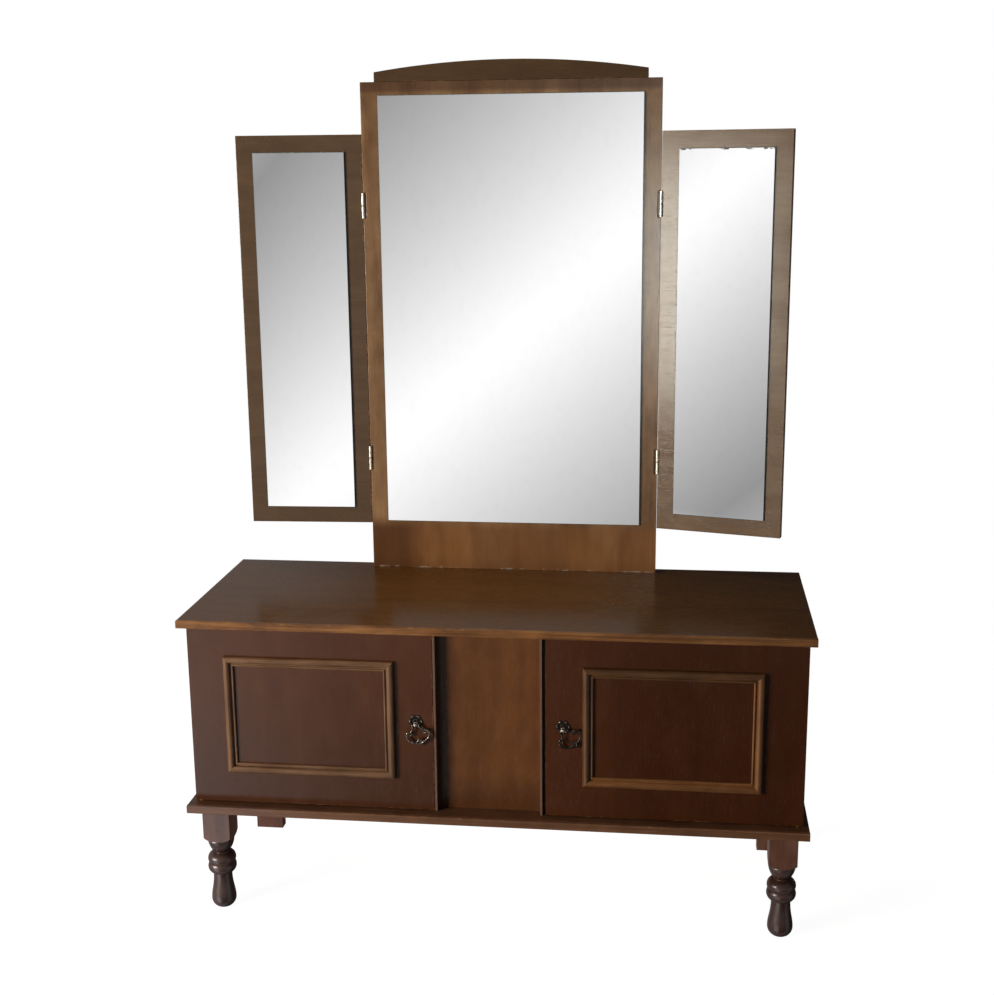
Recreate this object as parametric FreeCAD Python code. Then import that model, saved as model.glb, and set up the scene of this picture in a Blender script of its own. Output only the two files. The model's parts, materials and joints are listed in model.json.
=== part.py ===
import FreeCAD, Part
import math
import os

# A dressing table: a low two-door cabinet on four legs, a tall middle mirror and two hinged mirror wings.
# Millimetres, +Z up, +X to the right and +Y to the back, seen from the front.
# The origin is on the floor under the middle of the table top's outline.

V = FreeCAD.Vector
X_AXIS = V(1, 0, 0)
Y_AXIS = V(0, 1, 0)
Z_AXIS = V(0, 0, 1)
LEFT, RIGHT = -1, 1
SIDE_NAMES = {LEFT: "left", RIGHT: "right"}

# Cabinet
table_width = 1200.0
table_depth = 445.0
leg_height = 227.0
base_thickness = 16.0
carcass_height = 364.0
top_thickness = 15.0
lipping_depth = 8.0
lipping_round = 2.0
side_overhang = 11.0
side_thickness = 18.0
partition_thickness = 16.0
back_panel_thickness = 4.0
dowel_diameter = 8.0
dowel_length = 24.0
dowel_depth_in_board = 10.0
dowel_inset = 60.0

# Recessed centre bay, which sits a little left of the middle
bay_width = 199.0
bay_offset = -6.5
centre_panel_thickness = 6.0
strip_width = 4.5

# Doors
door_setback = 28.0
door_thickness = 18.0
door_gap = 2.0
door_stop_gap = 2.0
left_door_strip_gap = 1.0
right_door_strip_gap = 6.0
pivot_pin_diameter = 6.0
pivot_depth_in_board = 8.0
pivot_depth_in_door = 10.0
bush_wall = 1.5
bush_flange_diameter = 13.0
pivot_end_play = 0.5

# Planted door moulding: a large outer bead, a groove and a small inner bead
left_moulding_margin = 72.4
right_moulding_margin = 74.8
left_moulding_offset = -1.9
right_moulding_offset = -4.3
moulding_end_margin = 61.0
moulding_rise = 1.8
moulding_section = 20.0
outer_bead_width = 13.5
outer_bead_height = 10.0
bead_foot_height = 4.5
groove_width = 2.0
groove_height = 3.0
inner_bead_height = 5.0

# Drop pulls
handle_inset = 33.5
handle_rise = 1.0
rosette_lobe_radius = 6.5
rosette_lobe_ring = 7.5
rosette_lobes = 6
rosette_thickness = 2.0
post_drop = 5.0
post_diameter = 8.0
post_nose = 3.5
handle_pin_diameter = 3.0
handle_pin_reach = 5.0
handle_bolt_diameter = 4.0
handle_bolt_run = 6.0
handle_nut_width = 10.0
handle_nut_thickness = 3.0
drop_thickness = 3.0
drop_bar = 3.2
drop_side_clearance = 0.4
drop_lobe_radius = 13.5
drop_lobe_spread = 17.0
drop_lobe_fall = 20.0
drop_tip_radius = 12.5
drop_tip_fall = 32.0
left_drop_tilt = 14.0
right_drop_tilt = 39.0

# Door catches
catch_width = 12.0
catch_depth = 20.0
catch_height = 40.0
catch_top_gap = 12.0
strike_width = 14.0
strike_height = 34.0
strike_thickness = 1.0

# Front legs: a square block above a turned foot, whose stretches stack up from the floor
leg_block = 54.0
leg_inset_x = 44.5
leg_inset_y = 65.0
leg_shoulder = 13.0
shoulder_swell = 2.2
leg_tenon_diameter = 25.0
leg_tenon_cover = 4.0
foot_bottom_radius = 12.5
foot_radius = 24.5
foot_lower_height = 18.0
ankle_radius = 21.0
foot_upper_height = 52.0
lower_neck_radius = 18.6
lower_neck_height = 4.0
lower_ring_radius = 28.4
lower_ring_height = 23.0
groove_radius = 25.5
ring_spacing = 16.0
upper_ring_radius = 28.0
upper_ring_height = 22.0
upper_neck_radius = 16.0
upper_neck_height = 2.0
bell_radius = 26.5
bell_swell = 2.2
bell_height = 25.0
lip_radius = 25.5
lip_height = 3.0

# Rear legs: plain planks set flat against the back
rear_leg_width = 60.0
rear_leg_thickness = 25.0
rear_leg_inset_y = 5.0
rear_tenon_diameter = 16.0

# Middle mirror
mirror_board_width = 600.0
mirror_board_height = 1002.0
mirror_board_thickness = 18.0
glass_thickness = 4.0
mirror_side_margin = 34.0
mirror_top_margin = 26.0
mirror_bottom_margin = 103.0
mirror_dowel_spread = 400.0

# Arched crest board on top of the middle mirror
crest_width = 546.0
crest_end_height = 19.0
crest_rise = 21.0
crest_thickness = 14.0
crest_dowel_spread = 200.0
crest_dowel_depth = 9.0

# Battens that carry the mirror on the back of the carcass
batten_width = 50.0
batten_thickness = 14.0
batten_foot_gap = 79.0
batten_head_gap = 242.0
batten_notch_clearance = 0.5
batten_screw_inset = 50.0
batten_screw_diameter = 4.0
batten_screw_head = 8.0
batten_screw_cover = 4.0

# Mirror wings and their butt hinges
wing_width = 257.0
wing_height = 804.0
wing_thickness = 16.0
wing_rise = 97.0
wing_margin = 34.0
left_wing_rest_angle = 2.4
right_wing_rest_angle = 14.6
hinge_length = 50.0
hinge_leaf_thickness = 1.0
hinge_leaf_depth = 15.0
hinge_leaf_clearance = 0.4
hinge_end_offset = 141.0
knuckle_diameter = 6.0
knuckle_stand_off = 0.3
knuckle_clearance = 0.3
knuckle_notch_width = 5.5
hinge_pin_diameter = 3.0
hinge_screw_diameter = 2.5
hinge_screw_head = 5.0
hinge_screw_length = 14.0
hinge_screw_spread = 30.0

# Fits: radial room of a pin or dowel in its hole, and how far a cut runs past the face it opens
pin_clearance = 0.05
cut_margin = 1.0

# Places closer than this are the same place
same_place = 1e-6

# Sizes that differ a little from side to side
door_strip_gap = {LEFT: left_door_strip_gap, RIGHT: right_door_strip_gap}
moulding_margin = {LEFT: left_moulding_margin, RIGHT: right_moulding_margin}
moulding_offset = {LEFT: left_moulding_offset, RIGHT: right_moulding_offset}
drop_tilt = {LEFT: left_drop_tilt, RIGHT: right_drop_tilt}
wing_rest_angle = {LEFT: left_wing_rest_angle, RIGHT: right_wing_rest_angle}

# Levels and planes that follow from the sizes above
front_y = -table_depth / 2
back_y = table_depth / 2
base_top_z = leg_height + base_thickness
top_bottom_z = base_top_z + carcass_height
top_z = top_bottom_z + top_thickness
door_front_y = front_y + door_setback
door_back_y = door_front_y + door_thickness
carcass_front_y = door_back_y + door_stop_gap
carcass_back_y = back_y - batten_thickness - back_panel_thickness
door_bottom_z = base_top_z + door_gap
door_top_z = top_bottom_z - door_gap
side_outer_x = table_width / 2 - side_overhang
mirror_front_y = back_y - batten_thickness - mirror_board_thickness
mirror_top_z = top_z + mirror_board_height
wing_bottom_z = top_z + wing_rise
hinge_gap = 2 * hinge_leaf_thickness + hinge_leaf_clearance
hinge_y = mirror_front_y - knuckle_stand_off
hinge_heights = (wing_bottom_z + hinge_end_offset, wing_bottom_z + wing_height - hinge_end_offset)
batten_bottom_z = base_top_z + batten_foot_gap
batten_top_z = mirror_top_z - batten_head_gap
pivot_y = door_back_y - door_thickness / 2
handle_pivot_y = door_front_y - rosette_thickness - handle_pin_reach


def box(x0, x1, y0, y1, z0, z1):
    """A box between two corners given in any order."""
    corner = V(min(x0, x1), min(y0, y1), min(z0, z1))
    return Part.makeBox(abs(x1 - x0), abs(y1 - y0), abs(z1 - z0), corner)


def cylinder(diameter, start, direction, length):
    return Part.makeCylinder(diameter / 2, length, start, direction)


def hole(diameter, start, direction, length):
    """The space drilled for a pin or dowel of this diameter."""
    return cylinder(diameter + 2 * pin_clearance, start, direction, length)


def cut(shape, tools):
    return shape.cut(tools) if tools else shape


def save(name, solids):
    """Writes one sub-part, made of one or more separate solids."""
    solids = [solid.removeSplitter() for solid in solids]
    shape = solids[0] if len(solids) == 1 else Part.makeCompound(solids)
    shape.exportStep(f"parts/{name}.step")


def countersunk(diameter, head, length, start, direction, clearance=0.0):
    """A countersunk screw whose flat head lies at start, or its hole where a clearance is given."""
    head_length = (head - diameter) / 2
    cone = Part.makeCone(head / 2 + clearance, diameter / 2 + clearance, head_length, start, direction)
    shank = Part.makeCylinder(diameter / 2 + clearance, length, start, direction)
    return cone.fuse(shank).removeSplitter()


def bay_edge(side):
    """The partition's face towards the recessed bay."""
    return bay_offset + side * bay_width / 2


def door_inner_x(side):
    return bay_edge(side) + side * (strip_width + door_strip_gap[side])


def partition_middle_x(side):
    return bay_edge(side) + side * partition_thickness / 2


def pivot_x(side):
    return side * (side_outer_x - door_thickness / 2)


def panel_middles():
    """The middle of each upright board that is dowelled between base and top."""
    middles = []
    for side in (LEFT, RIGHT):
        middles.append(side * (side_outer_x - side_thickness / 2))
        middles.append(partition_middle_x(side))
    return middles


def carcass_dowel_places():
    rows = (carcass_front_y + dowel_inset, carcass_back_y - dowel_inset)
    return [(x, y) for x in panel_middles() for y in rows]


def carcass_dowels(shaper):
    """Dowels, or their holes, at both ends of the upright boards."""
    solids = []
    for x, y in carcass_dowel_places():
        lower = V(x, y, base_top_z - dowel_depth_in_board)
        upper = V(x, y, top_bottom_z + dowel_depth_in_board)
        solids.append(shaper(dowel_diameter, lower, Z_AXIS, dowel_length))
        solids.append(shaper(dowel_diameter, upper, -Z_AXIS, dowel_length))
    return solids


def mirror_dowels(shaper):
    """Dowels, or their holes, between the table top and the mirror board."""
    y = mirror_front_y + mirror_board_thickness / 2
    start_z = top_z - dowel_depth_in_board
    return [shaper(dowel_diameter, V(side * mirror_dowel_spread / 2, y, start_z), Z_AXIS, dowel_length)
            for side in (LEFT, RIGHT)]


def crest_dowels(shaper):
    """Dowels, or their holes, between the mirror board and its crest."""
    y = mirror_front_y + mirror_board_thickness - crest_thickness / 2
    start_z = mirror_top_z - crest_dowel_depth
    length = 2 * crest_dowel_depth
    return [shaper(dowel_diameter, V(side * crest_dowel_spread / 2, y, start_z), Z_AXIS, length)
            for side in (LEFT, RIGHT)]


def pivot_pins(side, shaper):
    """The lower and upper pivot pin of one door, or the holes for them."""
    length = pivot_depth_in_board + door_gap + pivot_depth_in_door
    lower = V(pivot_x(side), pivot_y, base_top_z - pivot_depth_in_board)
    upper = V(pivot_x(side), pivot_y, top_bottom_z + pivot_depth_in_board)
    return [shaper(pivot_pin_diameter, lower, Z_AXIS, length),
            shaper(pivot_pin_diameter, upper, -Z_AXIS, length)]


def leg_places():
    x = table_width / 2 - leg_inset_x
    return {LEFT: V(-x, front_y + leg_inset_y, 0), RIGHT: V(x, front_y + leg_inset_y, 0)}


def rear_leg_places():
    x = side_outer_x - rear_leg_width / 2
    y = back_y - rear_leg_inset_y - rear_leg_thickness / 2
    return {LEFT: V(-x, y, 0), RIGHT: V(x, y, 0)}


def tenons(places, shaper, diameter):
    return [shaper(diameter, place + V(0, 0, leg_height), Z_AXIS, base_thickness - leg_tenon_cover)
            for place in places.values()]


def batten_screws(clearance=0.0):
    """Two screws of each batten go into the partition and two into the mirror board."""
    heights = (batten_bottom_z + batten_screw_inset, top_bottom_z - batten_screw_inset,
               top_z + batten_screw_inset, batten_top_z - batten_screw_inset)
    length = batten_thickness + mirror_board_thickness - batten_screw_cover
    return [countersunk(batten_screw_diameter, batten_screw_head, length,
                        V(partition_middle_x(side), back_y, z), -Y_AXIS, clearance)
            for side in (LEFT, RIGHT) for z in heights]


def board_with_lipping(z0, z1):
    """The flat board behind its front lipping, and that lipping with softened front edges."""
    x = table_width / 2
    board = box(-x, x, front_y + lipping_depth, back_y, z0, z1)
    lipping = box(-x, x, front_y, front_y + lipping_depth, z0, z1)
    front_edges = [edge for edge in lipping.Edges
                   if abs(edge.BoundBox.YMax - front_y) < same_place and edge.Length > table_width / 2]
    return board, lipping.makeFillet(lipping_round, front_edges)


def make_top():
    board, lipping = board_with_lipping(top_bottom_z, top_z)
    notch = batten_width / 2 + batten_notch_clearance
    tools = [box(partition_middle_x(side) - notch, partition_middle_x(side) + notch,
                 back_y - batten_thickness, back_y + cut_margin,
                 top_bottom_z - cut_margin, top_z + cut_margin) for side in (LEFT, RIGHT)]
    tools += carcass_dowels(hole)[1::2] + mirror_dowels(hole)
    tools += [pivot_pins(side, hole)[1] for side in (LEFT, RIGHT)]
    save("top_board", [cut(board, tools)])
    save("top_lipping", [lipping])


def make_base():
    board, lipping = board_with_lipping(leg_height, base_top_z)
    tools = carcass_dowels(hole)[0::2]
    tools += [pivot_pins(side, hole)[0] for side in (LEFT, RIGHT)]
    tools += tenons(leg_places(), hole, leg_tenon_diameter)
    tools += tenons(rear_leg_places(), hole, rear_tenon_diameter)
    save("base_board", [cut(board, tools)])
    save("base_lipping", [lipping])


def make_upright_boards():
    holes = carcass_dowels(hole) + batten_screws(pin_clearance)
    for side, name in SIDE_NAMES.items():
        panel = box(side * side_outer_x, side * (side_outer_x - side_thickness),
                    carcass_front_y, carcass_back_y, base_top_z, top_bottom_z)
        save(f"side_panel_{name}", [cut(panel, holes)])
        edge = bay_edge(side)
        partition = box(edge, edge + side * partition_thickness,
                        carcass_front_y, carcass_back_y, base_top_z, top_bottom_z)
        save(f"partition_{name}", [cut(partition, holes)])
        strip = box(edge, edge + side * strip_width, door_front_y, carcass_front_y, base_top_z, top_bottom_z)
        save(f"edge_strip_{name}", [strip])
    panel = box(bay_edge(LEFT), bay_edge(RIGHT), carcass_front_y, carcass_front_y + centre_panel_thickness,
                base_top_z, top_bottom_z)
    save("centre_panel", [panel])
    back = box(-side_outer_x, side_outer_x, carcass_back_y, carcass_back_y + back_panel_thickness,
               base_top_z, top_bottom_z)
    save("back_panel", [cut(back, batten_screws(pin_clearance))])
    save("carcass_dowels", carcass_dowels(cylinder))


def turned_heights():
    """The heights above the floor at which the turned stretches of a front leg begin."""
    stretches = (foot_lower_height, foot_upper_height, lower_neck_height, lower_ring_height,
                 upper_ring_height, upper_neck_height, bell_height, lip_height)
    heights = [0.0]
    for stretch in stretches:
        heights.append(heights[-1] + stretch)
    return heights


def ball_under(edge, widest):
    """The arc from the foot's edge on the floor up to its widest place, where it stands upright."""
    reach = widest.x - edge.x
    rise = widest.z - edge.z
    radius = (reach ** 2 + rise ** 2) / (2 * reach)
    half_angle = math.asin(rise / radius) / 2
    middle = widest - V(radius * (1 - math.cos(half_angle)), 0, radius * math.sin(half_angle))
    return Part.Arc(edge, middle, widest).toShape()


def turned_foot():
    """The turned lower part of a front leg, on the Z axis: club foot, two rings, neck, bell and lip."""
    heights = turned_heights()
    floor, widest_z, foot_top, ring_1, ring_2, ring_top, bell_bottom, bell_end, block_bottom = heights
    foot_edge = V(foot_bottom_radius, 0, floor)
    widest = V(foot_radius, 0, widest_z)
    ankle = V(ankle_radius, 0, (widest_z + foot_top) / 2)
    foot_neck = V(lower_neck_radius, 0, foot_top)
    club = Part.BSplineCurve()
    club.interpolate([widest, ankle, foot_neck], InitialTangent=Z_AXIS, FinalTangent=Z_AXIS)
    lower_neck = V(lower_neck_radius, 0, ring_1)
    lower_crest = V(lower_ring_radius, 0, ring_2 - ring_spacing / 2)
    groove = V(groove_radius, 0, ring_2)
    upper_crest = V(upper_ring_radius, 0, ring_2 + ring_spacing / 2)
    upper_neck = V(upper_neck_radius, 0, ring_top)
    bell_foot = V(upper_neck_radius, 0, bell_bottom)
    bell_middle = V((upper_neck_radius + bell_radius) / 2 + bell_swell, 0, (bell_bottom + bell_end) / 2)
    bell_top = V(bell_radius, 0, bell_end)
    lip = V(lip_radius, 0, block_bottom)
    edges = [
        Part.makeLine(V(0, 0, floor), foot_edge),
        ball_under(foot_edge, widest),
        club.toShape(),
        Part.makeLine(foot_neck, lower_neck),
        Part.Arc(lower_neck, lower_crest, groove).toShape(),
        Part.Arc(groove, upper_crest, upper_neck).toShape(),
        Part.makeLine(upper_neck, bell_foot),
        Part.Arc(bell_foot, bell_middle, bell_top).toShape(),
        Part.makeLine(bell_top, lip),
        Part.makeLine(lip, V(0, 0, block_bottom)),
        Part.makeLine(V(0, 0, block_bottom), V(0, 0, floor)),
    ]
    return Part.Face(Part.Wire(edges)).revolve(V(0, 0, 0), Z_AXIS, 360)


def leg_block_solid():
    """The square block of a front leg, whose lower corners are turned to a round shoulder."""
    half = leg_block / 2
    bottom = turned_heights()[-1]
    block = box(-half, half, -half, half, bottom, leg_height)
    start = V(half, 0, bottom)
    corner = V(half * math.sqrt(2) + cut_margin, 0, bottom + leg_shoulder)
    swell = V(shoulder_swell, 0, -shoulder_swell)
    edges = [
        Part.makeLine(V(0, 0, bottom), start),
        Part.Arc(start, (start + corner) * 0.5 + swell, corner).toShape(),
        Part.makeLine(corner, V(corner.x, 0, leg_height)),
        Part.makeLine(V(corner.x, 0, leg_height), V(0, 0, leg_height)),
        Part.makeLine(V(0, 0, leg_height), V(0, 0, bottom)),
    ]
    return block.common(Part.Face(Part.Wire(edges)).revolve(V(0, 0, 0), Z_AXIS, 360))


def make_legs():
    tenon_length = base_thickness - leg_tenon_cover
    tenon = cylinder(leg_tenon_diameter, V(0, 0, leg_height), Z_AXIS, tenon_length)
    front_leg = turned_foot().fuse([leg_block_solid(), tenon])
    rear_leg = box(-rear_leg_width / 2, rear_leg_width / 2, -rear_leg_thickness / 2, rear_leg_thickness / 2,
                   0, leg_height)
    rear_leg = rear_leg.fuse(cylinder(rear_tenon_diameter, V(0, 0, leg_height), Z_AXIS, tenon_length))
    for side, name in SIDE_NAMES.items():
        save(f"front_leg_{name}", [front_leg.translated(leg_places()[side])])
        save(f"rear_leg_{name}", [rear_leg.translated(rear_leg_places()[side])])


def handle_centre(side):
    """The middle of a rosette, on the front face of its door."""
    middle_z = (door_bottom_z + door_top_z) / 2
    return V(door_inner_x(side) + side * handle_inset, door_front_y, middle_z + handle_rise)


def handle_post_place(side):
    return handle_centre(side) - V(0, 0, post_drop)


def bush(side, direction, start_z, flange):
    """A flanged bush let into a door's edge, with its bore for the pivot pin."""
    outer = pivot_pin_diameter + 2 * (pin_clearance + bush_wall)
    place = V(pivot_x(side), pivot_y, start_z)
    body = cylinder(outer, place, direction, pivot_depth_in_door)
    collar = cylinder(bush_flange_diameter, place, -direction, flange)
    bore = hole(pivot_pin_diameter, place - direction * flange, direction, flange + pivot_depth_in_door)
    return body.fuse(collar).cut(bore)


def door_bushes(side):
    return [bush(side, Z_AXIS, door_bottom_z, door_gap),
            bush(side, -Z_AXIS, door_top_z, door_gap - pivot_end_play)]


def bush_holes(side):
    outer = pivot_pin_diameter + 2 * (pin_clearance + bush_wall)
    return [hole(outer, V(pivot_x(side), pivot_y, door_bottom_z), Z_AXIS, pivot_depth_in_door),
            hole(outer, V(pivot_x(side), pivot_y, door_top_z), -Z_AXIS, pivot_depth_in_door)]


def door_panel(side):
    """A flat door, rounded about its pivot at the outer back edge so that it clears the side panel."""
    panel = box(side * side_outer_x, door_inner_x(side), door_front_y, door_back_y, door_bottom_z, door_top_z)
    back_edge = [edge for edge in panel.Edges
                 if abs(edge.CenterOfMass.x - side * side_outer_x) < same_place
                 and abs(edge.CenterOfMass.y - door_back_y) < same_place and edge.Length > door_thickness]
    panel = panel.makeFillet(door_thickness / 2 - pin_clearance, back_edge)
    bolt_hole = hole(handle_bolt_diameter, handle_post_place(side), Y_AXIS, door_thickness)
    return cut(panel, bush_holes(side) + [bolt_hole])


def moulding_profile():
    """The moulding's section: X runs inwards from the outer edge, Z is the height above the door."""
    bead_middle = outer_bead_width / 2
    groove_start = outer_bead_width
    inner_start = groove_start + groove_width
    inner_middle = (inner_start + moulding_section) / 2
    edges = [
        Part.makeLine(V(0, 0, 0), V(0, 0, bead_foot_height)),
        Part.Arc(V(0, 0, bead_foot_height), V(bead_middle, 0, outer_bead_height),
                 V(groove_start, 0, groove_height)).toShape(),
        Part.makeLine(V(groove_start, 0, groove_height), V(inner_start, 0, groove_height)),
        Part.Arc(V(inner_start, 0, groove_height), V(inner_middle, 0, inner_bead_height),
                 V(moulding_section, 0, groove_height)).toShape(),
        Part.makeLine(V(moulding_section, 0, groove_height), V(moulding_section, 0, 0)),
        Part.makeLine(V(moulding_section, 0, 0), V(0, 0, 0)),
    ]
    return Part.Face(Part.Wire(edges))


def moulding_strip(length):
    """A strip along Y with both ends mitred, its outer edge on X = 0 and its back on Z = 0."""
    half = length / 2
    strip = moulding_profile().translated(V(0, -half, 0)).extrude(V(0, length, 0))
    corners = [V(0, -half, 0), V(moulding_section, moulding_section - half, 0),
               V(moulding_section, half - moulding_section, 0), V(0, half, 0), V(0, -half, 0)]
    mitred = Part.Face(Part.makePolygon(corners)).extrude(V(0, 0, outer_bead_height + cut_margin))
    return strip.common(mitred)


def door_mouldings(side):
    """Four strips round the door's field, named by the compass as seen from the front."""
    middle = V((side * side_outer_x + door_inner_x(side)) / 2 + moulding_offset[side], door_front_y,
               (door_bottom_z + door_top_z) / 2 + moulding_rise)
    width = abs(side * side_outer_x - door_inner_x(side)) - 2 * moulding_margin[side]
    height = door_top_z - door_bottom_z - 2 * moulding_end_margin
    sides = (("west", width, height, 0), ("north", height, width, 270),
             ("east", width, height, 180), ("south", height, width, 90))
    strips = {}
    for name, across, along, angle in sides:
        strip = moulding_strip(along).translated(V(-across / 2, 0, 0))
        strip = strip.rotated(V(0, 0, 0), Z_AXIS, angle)
        strip = strip.rotated(V(0, 0, 0), X_AXIS, 90)
        strips[name] = strip.translated(middle)
    return strips


def tilted(side, shape):
    """Turns a drop, or the hole for its pin, about the post, which has turned on its bolt in use."""
    return shape.rotated(handle_post_place(side), Y_AXIS, -drop_tilt[side])


def rosette(side):
    """The lobed plate with its post, whose round nose is drilled across for the drop's pin."""
    centre = handle_centre(side)
    plate = cylinder(2 * rosette_lobe_ring, centre, -Y_AXIS, rosette_thickness)
    lobes = []
    for index in range(rosette_lobes):
        angle = 2 * math.pi * index / rosette_lobes
        offset = V(math.cos(angle) * rosette_lobe_ring, 0, math.sin(angle) * rosette_lobe_ring)
        lobes.append(cylinder(2 * rosette_lobe_radius, centre + offset, -Y_AXIS, rosette_thickness))
    foot = handle_post_place(side) - V(0, rosette_thickness, 0)
    shaft = handle_pin_reach + post_nose - post_diameter / 2
    post = cylinder(post_diameter, foot, -Y_AXIS, shaft)
    nose = Part.makeSphere(post_diameter / 2, foot - V(0, shaft, 0))
    bolt_hole = hole(handle_bolt_diameter, handle_post_place(side), -Y_AXIS, rosette_thickness)
    pin = V(foot.x - post_diameter, handle_pivot_y, foot.z)
    cross_hole = hole(handle_pin_diameter, pin, X_AXIS, 2 * post_diameter)
    return plate.fuse(lobes + [post, nose]).cut([bolt_hole, tilted(side, cross_hole)])


def handle_bolt(side):
    """The bolt that holds the pull from behind, with its square nut on the door's back face."""
    start = handle_post_place(side) - V(0, rosette_thickness, 0)
    length = rosette_thickness + door_thickness + handle_bolt_run
    half = handle_nut_width / 2
    nut = box(start.x - half, start.x + half, door_back_y, door_back_y + handle_nut_thickness,
              start.z - half, start.z + half)
    return cylinder(handle_bolt_diameter, start, Y_AXIS, length).fuse(nut)


def drop_lobes(pivot, inset):
    """Three joined discs, two side by side above one, with their edge drawn in by an inset."""
    lobes = [(-drop_lobe_spread / 2, drop_lobe_fall, drop_lobe_radius),
             (drop_lobe_spread / 2, drop_lobe_fall, drop_lobe_radius),
             (0.0, drop_tip_fall, drop_tip_radius)]
    discs = [cylinder(2 * (radius - inset), pivot + V(x, -drop_thickness / 2, -fall), Y_AXIS, drop_thickness)
             for x, fall, radius in lobes]
    return discs[0].fuse(discs[1:])


def handle_drop(side):
    """The swinging drop: a cross pin, two arms and an open bar of three lobes."""
    foot = handle_post_place(side)
    pivot = V(foot.x, handle_pivot_y, foot.z)
    arm_x = post_diameter / 2 + drop_side_clearance + drop_bar / 2
    pin = cylinder(handle_pin_diameter, pivot - V(arm_x, 0, 0), X_AXIS, 2 * arm_x)
    bar_radius = drop_lobe_radius - drop_bar / 2
    arm_fall = drop_lobe_fall - math.sqrt(bar_radius ** 2 - (drop_lobe_spread / 2 - arm_x) ** 2)
    half_bar = drop_bar / 2
    half_thickness = drop_thickness / 2
    pieces = [drop_lobes(pivot, 0.0).cut(drop_lobes(pivot, drop_bar))]
    for direction in (LEFT, RIGHT):
        middle = pivot.x + direction * arm_x
        pieces.append(box(middle - half_bar, middle + half_bar,
                          pivot.y - half_thickness, pivot.y + half_thickness,
                          pivot.z + handle_pin_diameter / 2, pivot.z - arm_fall))
    return tilted(side, pin.fuse(pieces))


def catch_place(side):
    """The corner of a catch at its partition, its front and its top."""
    x = bay_edge(side) + side * partition_thickness
    return V(x, door_back_y + strike_thickness, top_bottom_z - catch_top_gap)


def door_catch(side):
    place = catch_place(side)
    return box(place.x, place.x + side * catch_width, place.y, place.y + catch_depth,
               place.z, place.z - catch_height)


def strike_plate(side):
    place = catch_place(side)
    middle_x = place.x + side * catch_width / 2
    middle_z = place.z - catch_height / 2
    return box(middle_x - strike_width / 2, middle_x + strike_width / 2, door_back_y, place.y,
               middle_z - strike_height / 2, middle_z + strike_height / 2)


def make_doors():
    pins = []
    for side, name in SIDE_NAMES.items():
        save(f"door_panel_{name}", [door_panel(side)])
        save(f"door_bushes_{name}", door_bushes(side))
        for place, strip in door_mouldings(side).items():
            save(f"moulding_{name}_{place}", [strip])
        save(f"handle_rosette_{name}", [rosette(side)])
        save(f"handle_bolt_{name}", [handle_bolt(side)])
        save(f"handle_drop_{name}", [handle_drop(side)])
        save(f"strike_plate_{name}", [strike_plate(side)])
        save(f"door_catch_{name}", [door_catch(side)])
        pins += pivot_pins(side, cylinder)
    save("door_pivot_pins", pins)


def crest():
    """A board with a straight foot, upright ends and an arched top."""
    half = crest_width / 2
    foot_z = mirror_top_z
    end_z = foot_z + crest_end_height
    edges = [
        Part.makeLine(V(-half, 0, foot_z), V(half, 0, foot_z)),
        Part.makeLine(V(half, 0, foot_z), V(half, 0, end_z)),
        Part.Arc(V(half, 0, end_z), V(0, 0, end_z + crest_rise), V(-half, 0, end_z)).toShape(),
        Part.makeLine(V(-half, 0, end_z), V(-half, 0, foot_z)),
    ]
    board = Part.Face(Part.Wire(edges)).extrude(V(0, crest_thickness, 0))
    back = mirror_front_y + mirror_board_thickness
    return board.translated(V(0, back - crest_thickness, 0))


def knuckle_notch(side, z, inwards):
    """The relief beside a knuckle, cut into the mirror board (inwards) or the wing at its lie-flat pose."""
    axis_x = side * (mirror_board_width + hinge_gap) / 2
    edge_x = axis_x - side * inwards * hinge_gap / 2
    width = knuckle_notch_width if inwards > 0 else knuckle_diameter / 2
    depth = knuckle_diameter / 2 - knuckle_stand_off + knuckle_clearance
    half = hinge_length / 2 + cut_margin
    return box(edge_x + side * inwards * cut_margin, edge_x - side * inwards * width,
               mirror_front_y - cut_margin, mirror_front_y + depth, z - half, z + half)


def hinge_screws(side, inwards, clearance=0.0):
    """Screws of the leaves on the mirror board (inwards 1) or on the wing (inwards -1), lying flat."""
    face_x = side * (mirror_board_width + hinge_gap) / 2 - side * inwards * hinge_leaf_clearance / 2
    y = mirror_front_y + knuckle_diameter / 2 + (hinge_leaf_depth - knuckle_diameter / 2) / 2
    solids = []
    for middle in hinge_heights:
        for step in (-1, 1):
            start = V(face_x, y, middle + step * hinge_screw_spread / 2)
            solids.append(countersunk(hinge_screw_diameter, hinge_screw_head, hinge_screw_length,
                                      start, X_AXIS * (-side * inwards), clearance))
    return solids


def hinge_leaf(side, z, inwards):
    """One leaf with its half of the knuckle: the lower half is on the mirror board, the upper on the wing."""
    axis = V(side * (mirror_board_width + hinge_gap) / 2, hinge_y, z)
    inner_x = axis.x - side * inwards * hinge_leaf_clearance / 2
    half = hinge_length / 2
    leaf = box(inner_x, inner_x - side * inwards * hinge_leaf_thickness,
               hinge_y, mirror_front_y + hinge_leaf_depth, z - half, z + half)
    own_start = -half if inwards > 0 else 0
    own = cylinder(knuckle_diameter, axis + V(0, 0, own_start), Z_AXIS, half)
    other_room = cylinder(knuckle_diameter + 2 * knuckle_clearance,
                          axis + V(0, 0, -half - own_start), Z_AXIS, half)
    bore = hole(hinge_pin_diameter, axis - V(0, 0, half), Z_AXIS, hinge_length)
    return leaf.fuse(own).cut([other_room, bore])


def hinge_pin(side, z):
    axis = V(side * (mirror_board_width + hinge_gap) / 2, hinge_y, z)
    return cylinder(hinge_pin_diameter, axis - V(0, 0, hinge_length / 2), Z_AXIS, hinge_length)


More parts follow.
